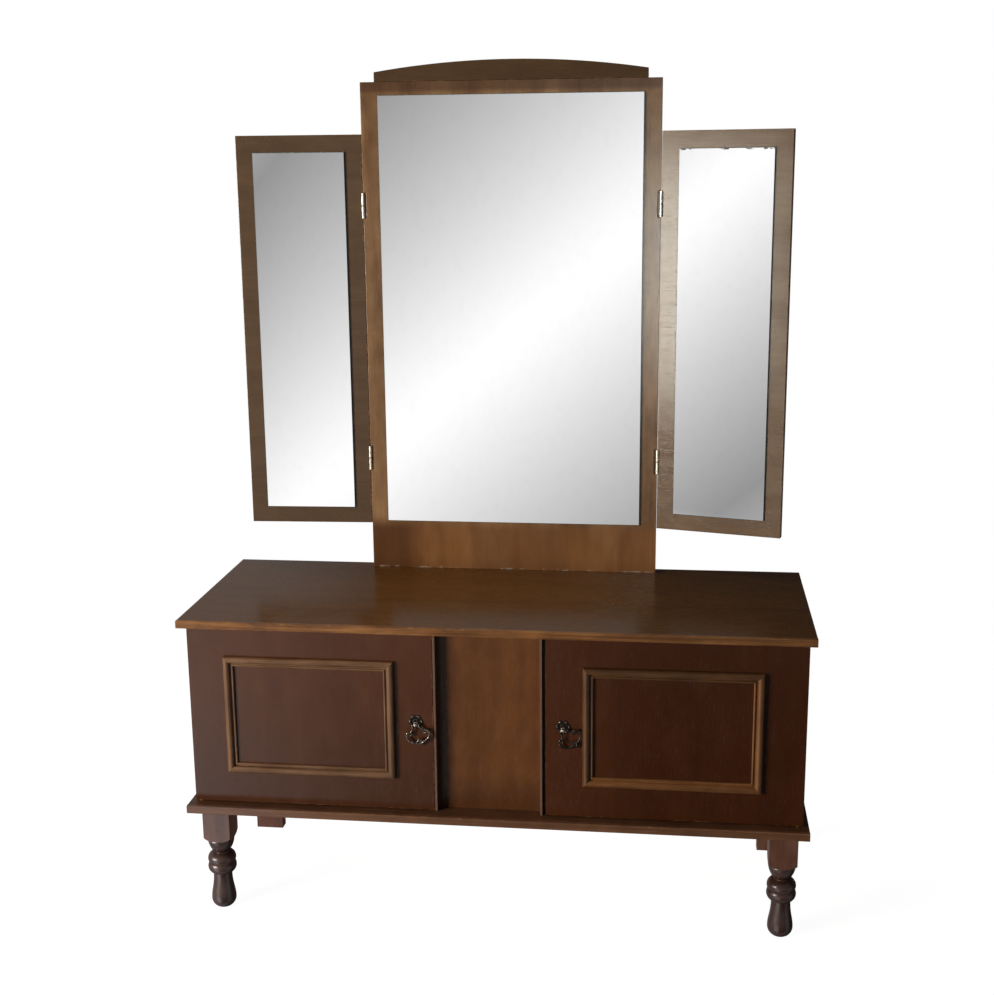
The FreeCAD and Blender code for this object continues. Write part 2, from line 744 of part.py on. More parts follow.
def make_mirror():
    half = mirror_board_width / 2
    board = box(-half, half, mirror_front_y, mirror_front_y + mirror_board_thickness, top_z, mirror_top_z)
    tools = mirror_dowels(hole) + crest_dowels(hole) + batten_screws(pin_clearance)
    for side in (LEFT, RIGHT):
        tools += [knuckle_notch(side, z, 1) for z in hinge_heights]
        tools += hinge_screws(side, 1, pin_clearance)
    save("mirror_board", [cut(board, tools)])
    glass_half = half - mirror_side_margin
    save("mirror_glass", [box(-glass_half, glass_half, mirror_front_y - glass_thickness, mirror_front_y,
                              top_z + mirror_bottom_margin, mirror_top_z - mirror_top_margin)])
    save("mirror_crest", [cut(crest(), crest_dowels(hole))])
    save("mirror_dowels", mirror_dowels(cylinder) + crest_dowels(cylinder))
    for side, name in SIDE_NAMES.items():
        middle = partition_middle_x(side)
        batten = box(middle - batten_width / 2, middle + batten_width / 2, back_y - batten_thickness, back_y,
                     batten_bottom_z, batten_top_z)
        save(f"mirror_batten_{name}", [cut(batten, batten_screws(pin_clearance))])
        leaves = [cut(hinge_leaf(side, z, 1), hinge_screws(side, 1, pin_clearance)) for z in hinge_heights]
        save(f"mirror_hinge_leaves_{name}", leaves)
    save("batten_screws", batten_screws())
    save("mirror_hinge_screws", hinge_screws(LEFT, 1) + hinge_screws(RIGHT, 1))
    save("wing_hinge_pins", [hinge_pin(side, z) for side in (LEFT, RIGHT) for z in hinge_heights])


def swing(side, shape):
    """Turns a wing's piece from lying flat beside the middle mirror to its rest angle."""
    axis = V(side * (mirror_board_width + hinge_gap) / 2, hinge_y, 0)
    return shape.rotated(axis, Z_AXIS, -side * wing_rest_angle[side])


def make_wings():
    for side, name in SIDE_NAMES.items():
        inner_x = side * (mirror_board_width / 2 + hinge_gap)
        outer_x = inner_x + side * wing_width
        board = box(inner_x, outer_x, mirror_front_y, mirror_front_y + wing_thickness,
                    wing_bottom_z, wing_bottom_z + wing_height)
        tools = [knuckle_notch(side, z, -1) for z in hinge_heights] + hinge_screws(side, -1, pin_clearance)
        save(f"wing_board_{name}", [swing(side, cut(board, tools))])
        glass = box(inner_x + side * wing_margin, outer_x - side * wing_margin,
                    mirror_front_y - glass_thickness, mirror_front_y,
                    wing_bottom_z + wing_margin, wing_bottom_z + wing_height - wing_margin)
        save(f"wing_glass_{name}", [swing(side, glass)])
        leaves = [cut(hinge_leaf(side, z, -1), hinge_screws(side, -1, pin_clearance)) for z in hinge_heights]
        save(f"wing_hinge_leaves_{name}", [swing(side, leaf) for leaf in leaves])
        save(f"wing_hinge_screws_{name}", [swing(side, screw) for screw in hinge_screws(side, -1)])


os.makedirs("parts", exist_ok=True)
make_top()
make_base()
make_upright_boards()
make_legs()
make_doors()
make_mirror()
make_wings()
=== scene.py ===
import json
import math

import bmesh
import bpy
from mathutils import Matrix, Vector


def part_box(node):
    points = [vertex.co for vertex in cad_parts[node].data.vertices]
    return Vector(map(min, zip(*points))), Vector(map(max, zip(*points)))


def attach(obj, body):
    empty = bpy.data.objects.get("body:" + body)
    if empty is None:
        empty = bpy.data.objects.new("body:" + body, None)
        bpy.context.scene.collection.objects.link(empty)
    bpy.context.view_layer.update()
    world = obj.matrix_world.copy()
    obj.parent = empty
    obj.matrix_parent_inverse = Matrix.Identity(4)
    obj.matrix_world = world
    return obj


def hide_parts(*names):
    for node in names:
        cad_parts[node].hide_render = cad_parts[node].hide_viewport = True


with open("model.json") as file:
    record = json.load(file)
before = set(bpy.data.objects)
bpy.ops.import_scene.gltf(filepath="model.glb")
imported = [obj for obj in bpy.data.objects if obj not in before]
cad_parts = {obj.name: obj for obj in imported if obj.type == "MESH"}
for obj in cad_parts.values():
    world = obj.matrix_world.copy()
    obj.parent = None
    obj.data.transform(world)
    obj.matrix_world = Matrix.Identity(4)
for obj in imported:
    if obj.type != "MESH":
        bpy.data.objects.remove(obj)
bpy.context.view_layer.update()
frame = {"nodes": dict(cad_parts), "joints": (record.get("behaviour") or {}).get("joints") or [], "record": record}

# Front legs: each is one post of beech, turned to a club foot, rings and a bell below a square block.
# Dark stain under satin varnish, rubbed thin on the arrises and the rings. The round tenon on top is
# glued into the base board.


class Wire:
    """A socket in a node tree, so that shader maths reads as plain sums."""

    def __init__(self, graph, socket):
        self.graph = graph
        self.socket = socket

    def out(self, name):
        """Another output of the same node."""
        return Wire(self.graph, self.socket.node.outputs[name])

    def __add__(self, other):
        return self.graph.maths("ADD", self, other)

    __radd__ = __add__

    def __sub__(self, other):
        return self.graph.maths("SUBTRACT", self, other)

    def __rsub__(self, other):
        return self.graph.maths("SUBTRACT", other, self)

    def __mul__(self, other):
        return self.graph.maths("MULTIPLY", self, other)

    __rmul__ = __mul__

    def __truediv__(self, other):
        return self.graph.maths("DIVIDE", self, other)

    def least(self, other):
        return self.graph.maths("MINIMUM", self, other)

    def most(self, other):
        return self.graph.maths("MAXIMUM", self, other)

    def size(self):
        """The value without its sign."""
        return self.graph.maths("ABSOLUTE", self)

    def along(self, axis):
        """One coordinate of a place."""
        return self.graph.node("ShaderNodeSeparateXYZ", None, {"Vector": self}).out(axis)

    def towards(self, other, share):
        """Between this value and another, by a share from 0 to 1."""
        return self * (1 - share) + other * share

    def step(self, low, high):
        """0 at low, 1 at high and a soft step between them, also where high is the smaller."""
        return self.graph.node("ShaderNodeMapRange", {"interpolation_type": "SMOOTHSTEP"},
                               {"Value": self, "From Min": low, "From Max": high})


class Graph:
    """A node tree of a material, of the world or of a mesh, while it is wired up."""

    def __init__(self, tree):
        self.tree = tree

    def node(self, kind, settings=None, values=None, output=0):
        """One node: its settings first, then the values or links of its sockets."""
        node = self.tree.nodes.new(kind)
        for key, value in (settings or {}).items():
            if key == "stops":
                set_stops(node.color_ramp, value)
            else:
                setattr(node, key, value)
        for key, value in (values or {}).items():
            if isinstance(value, Wire):
                self.tree.links.new(value.socket, node.inputs[key])
            else:
                node.inputs[key].default_value = value
        return Wire(self, node.outputs[output]) if len(node.outputs) else None

    def place(self):
        """Where on its piece a point lies."""
        return self.node("ShaderNodeTexCoord").out("Object")

    def maths(self, operation, first, second=0.0):
        return self.node("ShaderNodeMath", {"operation": operation}, {0: first, 1: second})

    def mix(self, factor, first, second, blend="MIX"):
        """A colour between two colours, by a factor from 0 to 1."""
        settings = {"data_type": "RGBA", "blend_type": blend}
        return self.node("ShaderNodeMix", settings, {0: factor, 6: first, 7: second}, output=2)

    def noise(self, place, scale, detail=2.0, distortion=0.0):
        """Noise on a place stretched by a scale in cycles per metre along each axis."""
        stretched = self.node("ShaderNodeMapping", {"vector_type": "POINT"},
                              {"Vector": place, "Scale": scale})
        return self.node("ShaderNodeTexNoise", None,
                         {"Vector": stretched, "Scale": 1.0, "Detail": detail, "Distortion": distortion})

    def bump(self, height, strength, distance):
        return self.node("ShaderNodeBump", None,
                         {"Height": height, "Strength": strength, "Distance": distance})


def set_stops(ramp, stops):
    while len(ramp.elements) < len(stops):
        ramp.elements.new(1.0)
    for element, (position, colour) in zip(ramp.elements, stops):
        element.position = position
        element.color = colour


def tone(red, green, blue):
    """A scene-linear colour from the shade's 0 to 255 values."""
    return tuple(((value / 255 + 0.055) / 1.055) ** 2.4 for value in (red, green, blue)) + (1.0,)


def new_finish(name):
    """An empty material and the graph of its nodes."""
    finish = bpy.data.materials.new(name)
    finish.use_nodes = True
    finish.node_tree.nodes.clear()
    return finish, Graph(finish.node_tree)


def surface(graph, values):
    """The shader that ends a finish."""
    shader = graph.node("ShaderNodeBsdfPrincipled", None, values)
    graph.node("ShaderNodeOutputMaterial", None, {"Surface": shader})


def stretch(grain, across, along):
    """Cycles per metre across and along the grain, as a scale for the three axes."""
    return tuple(along if axis == grain else across for axis in "XYZ")


def edge_distance(place, box):
    """How far a place on a board's surface is from its nearest arris: the middle one of three distances."""
    inside = []
    for axis, low, high in zip("XYZ", *box):
        spot = place.along(axis)
        inside.append((spot - low).least(high - spot))
    first, second, third = inside
    return first.least(second).most(first.most(second).least(third))


def stained_wood(name, grain, shades, box, turn=None, gloss=0.28, figure=(16.0, 1.3), contrast=1.0,
                 open_pores=0.45, shine=0.25, worn=(150, 108, 70), wear=0.5, wear_width=0.0025, marks=None):
    """Stained and varnished wood: broad figure, fine streaks, open pores, and arrises rubbed lighter.

    The grain runs along one axis. shades are the deep, middle and light tone, box is the board's own box,
    and turn, where given, is the place and angle about Z at which the board hangs.
    """
    finish, graph = new_finish(name)
    place = graph.place()
    if turn:
        pivot, angle = turn
        back = Matrix.Rotation(-angle, 3, "Z")
        place = graph.node("ShaderNodeMapping", {"vector_type": "POINT"},
                           {"Vector": place, "Location": pivot - back @ pivot, "Rotation": (0, 0, -angle)})
    broad = graph.noise(place, stretch(grain, *figure), detail=2.5, distortion=0.7)
    streaks = graph.noise(place, stretch(grain, 420.0, 7.0), detail=3.0)
    mottle = graph.noise(place, stretch(grain, 34.0, 15.0), detail=3.0)
    pores = graph.noise(place, stretch(grain, 1150.0, 55.0), detail=1.0).step(0.60, 0.74)
    rings = graph.maths("SINE", broad * 42.0 + streaks * 2.5)
    figured = 0.9 * (broad - 0.5) + 0.4 * (streaks - 0.5) + 0.8 * (mottle - 0.5) + 0.03 * rings
    amount = 0.5 + contrast * figured
    deep, middle, light = (tone(*shade) for shade in shades)
    colour = graph.node("ShaderNodeValToRGB", {"stops": [(0.15, deep), (0.5, middle), (0.9, light)]},
                        {"Fac": amount})
    colour = graph.mix(pores * open_pores, colour, tone(*(0.45 * value for value in shades[0])))
    rubbed = graph.noise(place, (75.0, 75.0, 75.0), detail=3.0).step(0.62 - 0.3 * wear, 0.80 - 0.3 * wear)
    rubbed = rubbed * edge_distance(place, box).step(wear_width, 0.0)
    colour = graph.mix(rubbed * 0.5, colour, tone(*worn))
    rough = gloss + 0.12 * (mottle - 0.5) + 0.10 * pores + 0.12 * rubbed
    if marks:
        colour, rough = marks(graph, place, colour, rough)
    height = 0.35 * streaks - pores
    surface(graph, {"Base Color": colour, "Roughness": rough, "Specular IOR Level": shine,
                    "Normal": graph.bump(height, 0.22, 0.00025)})
    return finish


body_of = {node: body for body, members in frame["record"]["behaviour"]["bodies"].items() for node in members}


def dress(node, finish):
    """Gives a CAD piece whose shape is right its finish."""
    frame["nodes"][node].material_slots[0].material = finish


def add_piece(name, shape, finishes, body, replaced=()):
    """Turns a shape into a piece that rides on a body and stands for the replaced CAD pieces."""
    mesh = bpy.data.meshes.new(name)
    shape.to_mesh(mesh)
    shape.free()
    for finish in finishes:
        mesh.materials.append(finish)
    piece = bpy.data.objects.new(name, mesh)
    bpy.context.scene.collection.objects.link(piece)
    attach(piece, body)
    if replaced:
        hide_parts(*replaced)
    return piece


sides = ("left", "right")
leg_shades = ((62, 36, 27), (94, 59, 45), (122, 84, 66))
turned_top = 0.149
# The left leg's wax is tinted bluer, a painted cool light from the window on the left.
wax_tone_with_cool_light = {"left": (31, 25, 30), "right": (26, 15, 13)}
leg_shine = {"left": 0.55, "right": 0.40}


def grimy_turning(wax):
    """The turned part below the block, darkened by floor wax and dirt in its hollows; on the left leg the tone is
    bluer as painted cool light.
    """
    def marks(graph, place, colour, rough):
        smears = graph.noise(place, (60.0, 60.0, 90.0), detail=3.0)
        turned = place.along("Z").step(turned_top + 0.001, turned_top - 0.002)
        grime = turned * (0.60 + 0.5 * (smears - 0.5))
        return graph.mix(grime, colour, tone(*wax)), rough - 0.06 * grime
    return marks


for side in sides:
    node = f"front_leg_{side}"
    dress(node, stained_wood(f"turned_leg_{side}", "Z", leg_shades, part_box(node), gloss=0.33,
                             shine=leg_shine[side], worn=(150, 100, 74), wear=0.6, wear_width=0.003,
                             marks=grimy_turning(wax_tone_with_cool_light[side])))


# Rear legs: plain planks of the same stained wood, set close to the back edge, with a round tenon in the base
# board. They stand in the shade, and their edges are only eased with a plane.


def eased(node, width, finish, reach=None):
    """A copy of a CAD board with its arrises taken off, as a plane or sandpaper leaves them.

    reach, where given, says how far each point of the board moves first.
    """
    shape = bmesh.new()
    shape.from_mesh(frame["nodes"][node].data)
    bmesh.ops.remove_doubles(shape, verts=shape.verts, dist=1e-6)
    bmesh.ops.dissolve_limit(shape, angle_limit=math.radians(0.5), verts=shape.verts, edges=shape.edges)
    if reach:
        for vertex in shape.verts:
            vertex.co += reach(vertex.co)
    sharp = math.radians(60)
    arrises = [edge for edge in shape.edges
               if edge.is_manifold and edge.calc_face_angle() > sharp and edge.calc_length() > 6 * width]
    bmesh.ops.bevel(shape, geom=arrises, offset=width, offset_type="OFFSET", segments=3, profile=0.5,
                    affect="EDGES", clamp_overlap=True)
    return add_piece(f"{node}_eased", shape, [finish], body_of[node], [node])


# How wide an arris is taken off a planed plank, a sanded board, a thin veneered board and pressed fibre.
planed, sanded, veneered, pressed = 0.0012, 0.0008, 0.0006, 0.0005
for side in sides:
    node = f"rear_leg_{side}"
    eased(node, planed, stained_wood(f"plank_leg_{side}", "Z", leg_shades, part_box(node), gloss=0.45,
                                     wear=0.4))


# Base board: a veneered panel under the whole cabinet, with a solid lipping glued along its front edge.
# The lipping's arrises are rounded, and years of shoes and dusters have rubbed it.

board_shades = ((52, 32, 20), (88, 56, 36), (122, 82, 54))
lipping_shades = ((96, 59, 30), (133, 87, 47), (167, 116, 69))
base_edge_shades = ((76, 48, 30), (104, 69, 46), (134, 94, 68))


def tinted(axis, start, end, share, shade):
    """Marks that take the colour towards a shade: none at the start along an axis, a share at the end."""
    def marks(graph, place, colour, rough):
        return graph.mix(share * place.along(axis).step(start, end), colour, tone(*shade)), rough
    return marks


# The lipping's left end is painted greyer, a painted sheen of the cool window on the left.
painted_sheen_left_end = tinted("X", -0.28, -0.58, 0.45, (106, 86, 79))
eased("base_board", sanded, stained_wood("base_veneer", "X", board_shades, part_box("base_board"), contrast=0.5,
                                         open_pores=0.2, wear=0.0))
dress("base_lipping", stained_wood("base_edge", "X", base_edge_shades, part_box("base_lipping"), gloss=0.34,
                                   figure=(160.0, 3.0), contrast=0.8, worn=(150, 106, 70), wear=0.3,
                                   wear_width=0.003, marks=painted_sheen_left_end))


# Carcass: two veneered sides and two partitions, doweled between base and top. Two narrow solid strips
# close the partitions' front edges, and a thin veneered panel closes the bay between them.

strip_shades = ((88, 62, 48), (106, 78, 62), (124, 94, 76))
for side in sides:
    for board in ("side_panel", "partition"):
        node = f"{board}_{side}"
        veneer = stained_wood(f"{board}_veneer_{side}", "Z", board_shades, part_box(node), wear=0.3)
        eased(node, veneered, veneer)
    node = f"edge_strip_{side}"
    eased(node, veneered, stained_wood(f"strip_wood_{side}", "Z", strip_shades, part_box(node),
                                       figure=(120.0, 2.0), contrast=0.4, open_pores=0.2, wear=0.0))
panel_shades = ((74, 41, 17), (101, 60, 29), (126, 78, 40))
bay_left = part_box("edge_strip_left")[1][0]
bay_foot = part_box("centre_panel")[0][2]


def bay_painted_shade(graph, place, colour, rough):
    """Painted shadow of the left strip over the bay's left side, and darker along the foot of the bay."""
    # This mask is painted shade: the shadow the left strip casts, and a darker band along the bay's foot.
    grime = place.along("X").step(bay_left + 0.042, bay_left + 0.008)
    grime = grime.most(0.7 * place.along("Z").step(bay_foot + 0.09, bay_foot + 0.01))
    return graph.mix(0.58 * grime, colour, tone(38, 22, 12)), rough


dress("centre_panel", stained_wood("panel_veneer_brown", "Z", panel_shades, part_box("centre_panel"),
                                   gloss=0.27, figure=(9.0, 1.6), contrast=0.6, open_pores=0.3, wear=0.0,
                                   marks=bay_painted_shade))


def raw_wood(name, grain, shades, box):
    """Bare planed wood that never saw stain or varnish."""
    return stained_wood(name, grain, shades, box, gloss=0.7, figure=(40.0, 1.5), contrast=0.7, wear=0.2)


dowel_shades = ((164, 128, 86), (190, 154, 108), (212, 180, 134))
dress("carcass_dowels", raw_wood("dowel_beech", "Z", dowel_shades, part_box("carcass_dowels")))


def hardboard(name):
    """Pressed wood fibre: short tangled fibres, matt, with darker damp clouds."""
    finish, graph = new_finish(name)
    place = graph.place()
    fibres = graph.noise(place, (900.0, 900.0, 1400.0), detail=4.0, distortion=1.5)
    clouds = graph.noise(place, (5.0, 5.0, 7.0), detail=4.0)
    colour = graph.mix(fibres.step(0.3, 0.7), tone(84, 58, 38), tone(122, 90, 60))
    colour = graph.mix(clouds.step(0.5, 0.8) * 0.5, colour, tone(72, 52, 38))
    surface(graph, {"Base Color": colour, "Roughness": 0.75 + 0.2 * (fibres - 0.5),
                    "Normal": graph.bump(fibres, 0.3, 0.0003)})
    return finish


eased("back_panel", pressed, hardboard("pressed_fibre"))


# Table top: a veneered board with a lighter solid lipping along its front edge. The surface keeps a dull
# sheen, with small pale spots where the varnish has worn through.

top_shades = ((74, 44, 15), (103, 65, 26), (130, 86, 40))
# The right end is painted darker, a painted shade where less light reaches it.
painted_shade_right_end = tinted("X", 0.10, 0.34, 0.32, (44, 26, 10))


def worn_spots(graph, place, colour, rough):
    """Small spots rubbed through the varnish, on a top painted darker towards its right end as painted shade."""
    colour, rough = painted_shade_right_end(graph, place, colour, rough)
    spots = graph.noise(place, (46.0, 62.0, 46.0), detail=4.0).step(0.745, 0.80)
    return graph.mix(spots * 0.6, colour, tone(168, 134, 100)), rough + 0.25 * spots


eased("top_board", sanded, stained_wood("top_veneer_brown", "X", top_shades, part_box("top_board"), gloss=0.20,
                                        figure=(14.0, 1.0), contrast=0.3, open_pores=0.15, shine=0.13,
                                        marks=worn_spots))
dress("top_lipping", stained_wood("top_edge", "X", lipping_shades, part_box("top_lipping"), gloss=0.34,
                                  figure=(160.0, 3.0), contrast=1.3, worn=(176, 126, 82), wear=0.35,
                                  wear_width=0.003, marks=painted_shade_right_end))


# Doors: flat veneered panels with upright grain. Each turns on two pivot pins in brass bushes, and four
# mitred moulding strips are planted on its face.

door_shades = {"left": ((67, 37, 20), (81, 46, 26), (98, 60, 36)),
               "right": ((51, 23, 8), (64, 31, 12), (80, 42, 19))}
# The left door's mouldings are greyer, a painted sheen of the cool window on the left.
moulding_shades_with_sheen = {"left": ((70, 47, 31), (100, 71, 48), (132, 97, 70)),
                   "right": ((70, 41, 19), (100, 63, 31), (132, 89, 50))}
door_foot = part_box("door_panel_left")[0][2]
# The left door is painted darker towards its foot, a painted shade for light that falls from higher up, and the
# right door is lighter towards its left side.
door_shade_and_tone = {"left": tinted("Z", door_foot + 0.24, door_foot + 0.02, 0.34, (46, 27, 17)),
              "right": tinted("X", 0.32, 0.13, 0.3, (90, 52, 29))}
# How much lighter or darker than the rest each moulding strip is painted, a painted light and shade for the way
# light falls on it.
strip_painted_shade = {"left": {"west": 1.14, "north": 1.14, "east": 1.06, "south": 1.06},
               "right": {"west": 0.88, "north": 0.80, "east": 1.06, "south": 1.12}}
for side in sides:
    node = f"door_panel_{side}"
    eased(node, sanded, stained_wood(f"door_veneer_{side}", "Z", door_shades[side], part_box(node), gloss=0.22,
                                     contrast=0.4, wear=0.4, wear_width=0.002, marks=door_shade_and_tone[side]))
    for place in ("west", "north", "east", "south"):
        node = f"moulding_{side}_{place}"
        along = "Z" if place in ("west", "east") else "X"
        shades = [[strip_painted_shade[side][place] * value for value in shade] for shade in moulding_shades_with_sheen[side]]
        dress(node, stained_wood(f"moulding_{side}_{place}_wood", along, shades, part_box(node),
                                 gloss=0.33, figure=(120.0, 2.0), wear=0.5))


def old_metal(name, bright, dull, metallic=1.0, rough=0.35, joints=()):
    """Metal with a cloudy tarnish and fine scratches, and dirt in the level joints at the given heights."""
    finish, graph = new_finish(name)
    place = graph.place()
    tarnish = graph.noise(place, (260.0, 260.0, 260.0), detail=4.0)
    scratches = graph.noise(place, (2400.0, 2400.0, 160.0), detail=1.0)
    colour = graph.mix(tarnish.step(0.40, 0.66), tone(*bright), tone(*dull))
    for joint in joints:
        dirt = (place.along("Z") - joint).size().step(0.0016, 0.0007)
        colour = graph.mix(dirt * 0.85, colour, tone(52, 40, 30))
    surface(graph, {"Base Color": colour, "Metallic": metallic,
                    "Roughness": rough + 0.35 * (tarnish - 0.45) + 0.1 * (scratches - 0.5),
                    "Normal": graph.bump(scratches, 0.1, 0.0001)})
    return finish


bush_brass = old_metal("bush_brass_worn", (196, 160, 92), (128, 100, 58))
plain_steel = old_metal("plain_steel", (176, 174, 168), (108, 104, 98))
for side in sides:
    dress(f"door_bushes_{side}", bush_brass)
    dress(f"strike_plate_{side}", plain_steel)
    dress(f"handle_bolt_{side}", plain_steel)
dress("door_pivot_pins", plain_steel)


def moulded_plastic(name):
    """Brown moulded plastic with a fine grain."""
    finish, graph = new_finish(name)
    place = graph.place()
    grain = graph.noise(place, (1800.0, 1800.0, 1800.0), detail=2.0)
    scuffs = graph.noise(place, (140.0, 140.0, 140.0), detail=3.0)
    surface(graph, {"Base Color": graph.mix(scuffs.step(0.45, 0.75), tone(62, 44, 34), tone(96, 76, 62)),
                    "Roughness": 0.42 + 0.2 * (scuffs - 0.5), "Normal": graph.bump(grain, 0.15, 0.0001)})
    return finish


catch_plastic = moulded_plastic("catch_plastic_brown")
for side in sides:
    dress(f"door_catch_{side}", catch_plastic)


# Drop pulls: cast brass, darkened with age and bright where fingers rub. A leafy rosette with a round-nosed
# post is bolted to each door, and an openwork drop of scrolled bars swings on a pin through the post.

hinges = {joint["name"]: joint for joint in frame["joints"]}


def cast_brass(name):
    """Old cast brass: brown and dull in the hollows, bright where the stored rub says it stands proud; on the
    drops that value also carries painted light.
    """
    finish, graph = new_finish(name)
    place = graph.place()
    rub = graph.node("ShaderNodeAttribute", {"attribute_name": "rub"}).out("Fac")
    grime = graph.noise(place, (520.0, 520.0, 520.0), detail=4.0)
    shine = (rub + 1.5 * (grime - 0.5)).step(0.35, 0.95)
    surface(graph, {"Base Color": graph.mix(shine, tone(38, 31, 27), tone(172, 157, 142)), "Metallic": 1.0,
                    "Roughness": 0.46 - 0.20 * shine, "Normal": graph.bump(grime, 0.25, 0.0002)})
    return finish


antique = cast_brass("antique_brass_cast")


def mark_rub(piece, proud):
    """Stores how bright each point of a piece is, from 0 to 1, by its place and its normal: how far it is rubbed,
    and on the drops also painted light.
    """
    rub = piece.data.attributes.new("rub", "FLOAT", "POINT")
    for vertex in piece.data.vertices:
        rub.data[vertex.index].value = proud(vertex.co, vertex.normal)
    piece.data.polygons.foreach_set("use_smooth", [True] * len(piece.data.polygons))


def turned_round(shape, profile, place, axis, steps=32):
    """Adds a closed round form to a shape: radius and reach along the axis, from its back to its nose."""
    side = axis.orthogonal().normalized()
    other = axis.cross(side)
    rows = []
    for radius, reach in profile:
        middle = place + reach * axis
        if radius == 0:
            rows.append([shape.verts.new(middle)])
            continue
        angles = [2 * math.pi * step / steps for step in range(steps)]
        rows.append([shape.verts.new(middle + radius * (math.cos(angle) * side + math.sin(angle) * other))
                     for angle in angles])
    for first, second in zip(rows, rows[1:]):
        for step in range(steps):
            corners = [first[step % len(first)], first[(step + 1) % len(first)],
                       second[(step + 1) % len(second)], second[step % len(second)]]
            shape.faces.new(list(dict.fromkeys(corners)))


def leafy_rosette(middle, post, door_face):
    """A cast plate of six leaves with raised rims round a hollow, and the post that carries the drop."""
    leaves, reach, rounds, spokes = 6, 0.0140, 16, 120
    plate_height, hub_height = 0.0009, 0.0010
    rim_height, vein_height, boss_height = 0.0013, 0.0005, 0.0009
    forward = Vector((0, -1, 0))
    shape = bmesh.new()

    def ridge(value, crown, width):
        """1 at the crown, falling off on both sides of it."""
        return math.exp(-((value - crown) / width) ** 2)

    def on_plate(share, spoke):
        """A point of the plate's face, by its share of the way out from the hub and by its spoke."""
        turn = 2 * math.pi * spoke / spokes
        leaf = abs(math.cos(leaves * turn / 2))
        out = share * reach * (0.76 + 0.24 * leaf ** 0.6)
        rim = ridge(share, 0.82, 0.12) * (0.3 + 0.7 * leaf)
        vein = ridge(leaf, 1.0, 0.05) * ridge(share, 0.6, 0.2)
        boss = ridge(share, 0.28, 0.10)
        height = plate_height + rim_height * rim + vein_height * vein + boss_height * boss
        return Vector((middle.x + out * math.cos(turn), door_face - height, middle.z + out * math.sin(turn)))

    hub = shape.verts.new((middle.x, door_face - hub_height, middle.z))
    rows = [[hub] * spokes]
    rows += [[shape.verts.new(on_plate(ring / rounds, spoke)) for spoke in range(spokes)]
             for ring in range(1, rounds + 1)]
    rows.append([shape.verts.new((vertex.co.x, door_face, vertex.co.z)) for vertex in rows[-1]])
    for first, second in zip(rows, rows[1:]):
        for spoke in range(spokes):
            after = (spoke + 1) % spokes
            shape.faces.new(list(dict.fromkeys((first[spoke], second[spoke], second[after], first[after]))))
    shape.faces.new(rows[-1])
    foot = Vector((post.x, door_face, post.z))
    # Radius and reach from the door, in mm.
    post_profile = [(0, 0.4), (4.7, 0.4), (4.7, 1.9), (4.2, 2.4), (3.0, 2.9), (2.6, 4.1), (2.9, 5.0),
                    (3.5, 6.1), (3.7, 7.4), (3.5, 8.7), (2.8, 9.7), (1.6, 10.35), (0, 10.5)]
    turned_round(shape, [(radius / 1000, along / 1000) for radius, along in post_profile], foot, forward)
    bmesh.ops.recalc_face_normals(shape, faces=shape.faces)
    return shape


# A stroke is a list of points of one bar of the drop: across and down from the pin in mm, and how many times
# bar_radius the bar measures there. The bars of the right half are repeated on the left. A ball has its place
# and its radius in mm. drop_scale takes the mm to metres, for a casting a little smaller than drawn.
arm_stroke = [(6.2, -0.6, 1.25), (6.9, 3.0, 1.3), (8.4, 8.0, 1.3), (11.5, 12.2, 1.4), (16.5, 14.8, 1.2)]
scroll_stroke = [(15.6, 20.6, 0.8), (13.0, 20.4, 1.0), (12.6, 16.4, 1.2), (16.4, 13.0, 1.5),
                 (22.0, 14.6, 1.7), (24.2, 21.0, 1.8), (23.0, 28.4, 1.7), (17.6, 33.6, 1.6),
                 (11.0, 36.8, 1.6), (5.0, 37.0, 1.4), (2.2, 33.4, 1.1), (0.4, 28.4, 0.7)]
foot_stroke = [(9.6, 36.0, 1.0), (6.4, 38.6, 1.3), (3.0, 40.6, 1.3), (0.2, 44.2, 0.7)]
drop_balls = [(0.0, 36.6, 2.2), (0.0, 30.6, 1.3), (15.6, 19.4, 1.9), (6.2, 0.0, 2.2), (-15.6, 19.4, 1.9),
              (-6.2, 0.0, 2.2)]
pin_stroke = [(-8.4, 0.0, 0.75), (0.0, 0.0, 0.75), (8.4, 0.0, 0.75)]
stem_stroke = [(0.0, 30.0, 0.9), (0.0, 34.0, 1.0), (0.0, 42.0, 0.9)]
drop_scale = 0.00094
bar_radius = 0.0014
bar_flatness = 0.75


